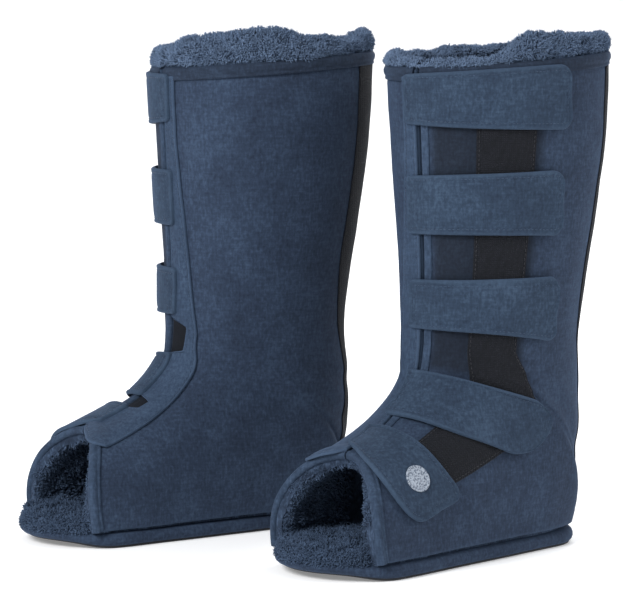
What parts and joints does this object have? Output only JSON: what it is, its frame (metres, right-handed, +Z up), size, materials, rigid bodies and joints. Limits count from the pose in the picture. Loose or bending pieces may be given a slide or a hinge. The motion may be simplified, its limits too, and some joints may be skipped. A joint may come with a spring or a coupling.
{
  "type": "strap boots",
  "caption": "Pair of open-toed, fleece-lined, calf-high fabric boots that open down the front and close with straps wrapped across a loop tape.",
  "frame": {"origin": "on the floor, under the middle of the bounding box of the two boots", "axes": "+Z up the shafts; -Y the side that the toes turn to and +X towards the left boot"},
  "size_m": [0.49, 0.3908, 0.4071],
  "materials": {
    "navy_fabric": "brushed, faintly napped navy cloth",
    "strap_fabric": "brushed navy cloth, doubled and topstitched",
    "facing_fabric": "brushed navy cloth, doubled and topstitched",
    "trim_fabric": "rolled navy cloth binding",
    "fleece": "deep shaggy fleece pile",
    "loop_tape": "short black loop pile",
    "seam_binding": "near-black woven tape",
    "sole_rubber": "matt black, lightly textured tread",
    "sole_foam": "matt dark foam",
    "badge_print": "flat pale printed disc"
  },
  "bodies": {
    "left_boot": {"left_outsole": "sole_rubber", "left_midsole": "sole_foam", "left_footbed": "fleece", "left_toe_rim": "fleece", "left_outer_foot_panel": "navy_fabric", "left_outer_shaft_panel": "navy_fabric", "left_inner_foot_panel": "navy_fabric", "left_inner_shaft_panel": "navy_fabric", "left_outer_foot_lining": "fleece", "left_outer_shaft_lining": "fleece", "left_inner_foot_lining": "fleece", "left_inner_shaft_lining": "fleece", "left_outer_hem": "trim_fabric", "left_inner_hem": "trim_fabric", "left_outer_toe_edge": "trim_fabric", "left_inner_toe_edge": "trim_fabric", "left_front_edge": "trim_fabric", "left_foot_facing": "facing_fabric", "left_loop_tape": "loop_tape", "left_back_seam": "seam_binding"},
    "left_flap": {"left_flap_panel": "navy_fabric", "left_flap_lining": "fleece", "left_flap_hem": "trim_fabric", "left_flap_facing": "facing_fabric"},
    "left_strap_1": {"left_strap_1": "strap_fabric"},
    "left_strap_2": {"left_strap_2": "strap_fabric"},
    "left_strap_3": {"left_strap_3": "strap_fabric"},
    "left_strap_4": {"left_strap_4": "strap_fabric"},
    "left_strap_5": {"left_strap_5": "strap_fabric", "left_badge": "badge_print"},
    "right_boot": {"right_outsole": "sole_rubber", "right_midsole": "sole_foam", "right_footbed": "fleece", "right_toe_rim": "fleece", "right_outer_foot_panel": "navy_fabric", "right_outer_shaft_panel": "navy_fabric", "right_inner_foot_panel": "navy_fabric", "right_inner_shaft_panel": "navy_fabric", "right_outer_foot_lining": "fleece", "right_outer_shaft_lining": "fleece", "right_inner_foot_lining": "fleece", "right_inner_shaft_lining": "fleece", "right_outer_hem": "trim_fabric", "right_inner_hem": "trim_fabric", "right_outer_toe_edge": "trim_fabric", "right_inner_toe_edge": "trim_fabric", "right_front_edge": "trim_fabric", "right_foot_facing": "facing_fabric", "right_loop_tape": "loop_tape", "right_back_seam": "seam_binding"},
    "right_flap": {"right_flap_panel": "navy_fabric", "right_flap_lining": "fleece", "right_flap_hem": "trim_fabric", "right_flap_facing": "facing_fabric"},
    "right_strap_1": {"right_strap_1": "strap_fabric"},
    "right_strap_2": {"right_strap_2": "strap_fabric"},
    "right_strap_3": {"right_strap_3": "strap_fabric"},
    "right_strap_4": {"right_strap_4": "strap_fabric"},
    "right_strap_5": {"right_strap_5": "strap_fabric", "right_badge": "badge_print"}
  },
  "joints": [
    {"name": "left_flap_fold", "type": "hinge", "parent": "left_boot", "child": "left_flap", "pos_m": [0.07295, 0.00515, 0.28296], "axis": [-0.0859, -0.3694, -0.9253], "range_deg": [0, 40]},
    {"name": "left_strap_1_hinge", "type": "hinge", "parent": "left_flap", "child": "left_strap_1", "pos_m": [0.07917, -0.08456, 0.36594], "axis": [0.0312, 0.0301, -0.9991], "range_deg": [0, 150]},
    {"name": "left_strap_2_hinge", "type": "hinge", "parent": "left_flap", "child": "left_strap_2", "pos_m": [0.08229, -0.08155, 0.28249], "axis": [0.0376, 0.0363, -0.9986], "range_deg": [0, 150]},
    {"name": "left_strap_3_hinge", "type": "hinge", "parent": "left_flap", "child": "left_strap_3", "pos_m": [0.08418, -0.07973, 0.20372], "axis": [0.0004, 0.0003, -1], "range_deg": [0, 150]},
    {"name": "left_strap_4_hinge", "type": "hinge", "parent": "left_boot", "child": "left_strap_4", "pos_m": [0.0717, -0.09176, 0.13662], "axis": [-0.4711, -0.4518, -0.7576], "range_deg": [0, 140]},
    {"name": "left_strap_5_hinge", "type": "hinge", "parent": "left_boot", "child": "left_strap_5", "pos_m": [0.04224, -0.12011, 0.10603], "axis": [-0.6532, -0.6299, -0.4201], "range_deg": [0, 150]},
    {"name": "right_flap_fold", "type": "hinge", "parent": "right_boot", "child": "right_flap", "pos_m": [-0.04175, 0.02508, 0.28296], "axis": [0.3793, -0.006, 0.9253], "range_deg": [0, 40]},
    {"name": "right_strap_1_hinge", "type": "hinge", "parent": "right_flap", "child": "right_strap_1", "pos_m": [-0.12728, 0.05282, 0.36594], "axis": [-0.0367, -0.023, 0.9991], "range_deg": [0, 150]},
    {"name": "right_strap_2_hinge", "type": "hinge", "parent": "right_flap", "child": "right_strap_2", "pos_m": [-0.12361, 0.05512, 0.28249], "axis": [-0.0443, -0.0277, 0.9986], "range_deg": [0, 150]},
    {"name": "right_strap_3_hinge", "type": "hinge", "parent": "right_flap", "child": "right_strap_3", "pos_m": [-0.12139, 0.05651, 0.20372], "axis": [-0.0004, -0.0004, 1], "range_deg": [0, 150]},
    {"name": "right_strap_4_hinge", "type": "hinge", "parent": "right_boot", "child": "right_strap_4", "pos_m": [-0.13607, 0.04732, 0.13662], "axis": [0.5523, 0.3478, 0.7576], "range_deg": [0, 140]},
    {"name": "right_strap_5_hinge", "type": "hinge", "parent": "right_boot", "child": "right_strap_5", "pos_m": [-0.17071, 0.02558, 0.10603], "axis": [0.7692, 0.4814, 0.4201], "range_deg": [0, 150]},
    {"name": "right_boot_lift", "type": "slide", "parent": "left_boot", "child": "right_boot", "axis": [0, 0, 1], "range_m": [0, 0.5]}
  ]
}
